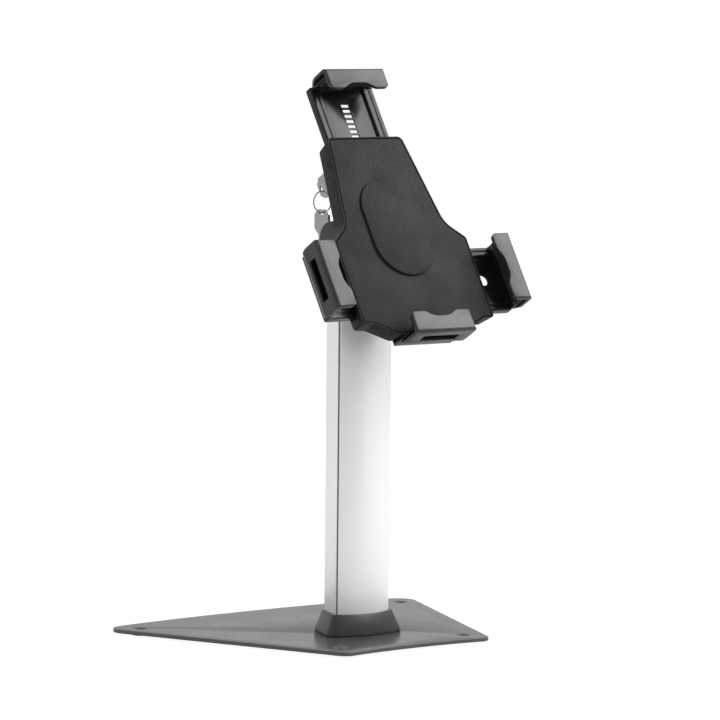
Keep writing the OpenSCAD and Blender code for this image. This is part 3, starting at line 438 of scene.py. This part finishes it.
for name, obj in nodes.items():
    if not obj.material_slots:
        obj.data.materials.append(None)
    for part in obj.material_slots:
        part.material = materials[slot_of[name]]
print(len(materials), "finishes on", len(nodes), "nodes and the grooves")

# %% [markdown]
# ## Soft edges
# The solids have true knife edges, but a moulded claw has an edge radius that catches a thin
# line of light, and so does a laser-cut plate after its paint. A copy of each solid whose
# edges show is merged, its flat faces are joined again, and a narrow bevel runs round its
# sharp edges.

# %% Edge helpers
MERGE_GAP = 0.00001
FLAT_ANGLE = math.radians(0.4)
SHARP_ANGLE = math.radians(32)
SMOOTH_ANGLE = math.radians(40)
BEVEL_STEPS = 2


def only(obj):
    """Selects one object and nothing else."""
    bpy.ops.object.select_all(action="DESELECT")
    obj.select_set(True)
    bpy.context.view_layer.objects.active = obj


def give(obj, slot):
    """Puts one finish on the whole of a piece."""
    obj.data.materials.clear()
    obj.data.materials.append(materials[slot])


def body_with(node):
    """The name of the moving body that a node belongs to."""
    bodies = frame["record"]["behaviour"]["bodies"]
    return next(body for body, members in bodies.items() if node in members)


def soften(node, name, width, shape=None):
    """A copy of a node with rounded edges, which stands for the node."""
    mesh = nodes[node].data.copy()
    piece = bpy.data.objects.new(name, mesh)
    scene.collection.objects.link(piece)
    only(piece)
    bpy.ops.object.mode_set(mode="EDIT")
    bpy.ops.mesh.select_all(action="SELECT")
    bpy.ops.mesh.remove_doubles(threshold=MERGE_GAP)
    bpy.ops.mesh.dissolve_limited(angle_limit=FLAT_ANGLE)
    bpy.ops.object.mode_set(mode="OBJECT")
    if shape:
        shape(piece)
    edge = piece.modifiers.new("edge_radius", "BEVEL")
    edge.width = width
    edge.segments = BEVEL_STEPS
    edge.limit_method = "ANGLE"
    edge.angle_limit = SHARP_ANGLE
    edge.use_clamp_overlap = True
    bpy.ops.object.modifier_apply(modifier="edge_radius")
    bpy.ops.object.shade_smooth_by_angle(angle=SMOOTH_ANGLE)
    give(piece, slot_of[node])
    body = body_with(node)
    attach(piece, body)
    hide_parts(node)
    return piece


# %% [markdown]
# ## The pole's grooves
# The extrusion has a fine groove down each front corner, between its curved front and
# its sides. The corner is already an arc of several strips, so one line of its points is
# pressed in towards the arc's centre. The strips inside the groove get a dark finish, which is
# painted shade for the shadow in the groove.

# %% Groove helpers
CORNER_R = 0.0035
CORNER_CENTRE = (0.0230, -0.0205)
ARC_TOLERANCE = 0.0001
GROOVE_TURN = math.radians(31.7)
GROOVE_HALF_ANGLE = math.radians(12)
GROOVE_DEPTH = 0.0010
WALL_INSIDE_R = 0.0018


def around_corner(point):
    """A point's distance from the centre of its corner's arc, and its turn from the groove."""
    out_x = abs(point.x) - CORNER_CENTRE[0]
    out_y = CORNER_CENTRE[1] - point.y
    return math.hypot(out_x, out_y), math.atan2(out_y, out_x) - GROOVE_TURN


def press_grooves(pole):
    """Presses a groove into both front corners of the pole."""
    for v in pole.data.vertices:
        far, turned = around_corner(v.co)
        if abs(far - CORNER_R) < ARC_TOLERANCE and abs(turned) < GROOVE_HALF_ANGLE:
            v.co.x -= math.copysign(GROOVE_DEPTH * math.cos(GROOVE_TURN), v.co.x)
            v.co.y += GROOVE_DEPTH * math.sin(GROOVE_TURN)


def paint_groove_shade(pole):
    """Gives the strips inside both grooves the second finish, which is painted shade for their
    shadow.
    """
    pole.data.materials.append(materials["groove_shade"])
    inside = 0
    for face in pole.data.polygons:
        far, turned = around_corner(face.center)
        pressed = WALL_INSIDE_R < far < CORNER_R - ARC_TOLERANCE
        if pressed and abs(turned) < GROOVE_HALF_ANGLE:
            face.material_index = 1
            inside += 1
    print("groove faces", inside)


# %% Moulded and painted pieces with their edge radii
EDGE_RADII = {
    "base_plate": 0.0004, "pole_collar": 0.0006, "pole": 0.0003,
    "pole_cap": 0.0005, "tilt_yoke": 0.0006,
    "hinge_cap_left": 0.0004, "hinge_cap_right": 0.0004,
    "foot_front_left": 0.0004, "foot_front_right": 0.0004,
    "foot_rear_left": 0.0004, "foot_rear_right": 0.0004,
    "front_panel": 0.0003, "oval_pad": 0.0004,
    "top_arm": 0.0002, "left_arm": 0.0002, "right_arm": 0.0002, "bottom_bracket": 0.0002,
    "top_claw": 0.001, "left_claw": 0.001, "right_claw": 0.001, "bottom_claw": 0.001,
    "top_grip": 0.0002, "left_grip": 0.0002, "right_grip": 0.0002, "bottom_grip": 0.0002,
    "lock_body": 0.0003, "key": 0.0002, "spare_key": 0.0002, "back_shell": 0.0006,
}
SHAPES = {"pole": press_grooves}
for node, width in EDGE_RADII.items():
    piece = soften(node, node + "_dressed", width, SHAPES.get(node))
    # the pole's grooves get painted shade as a second finish
    if node == "pole":
        paint_groove_shade(piece)
    print(piece.name, len(piece.data.polygons), "faces")
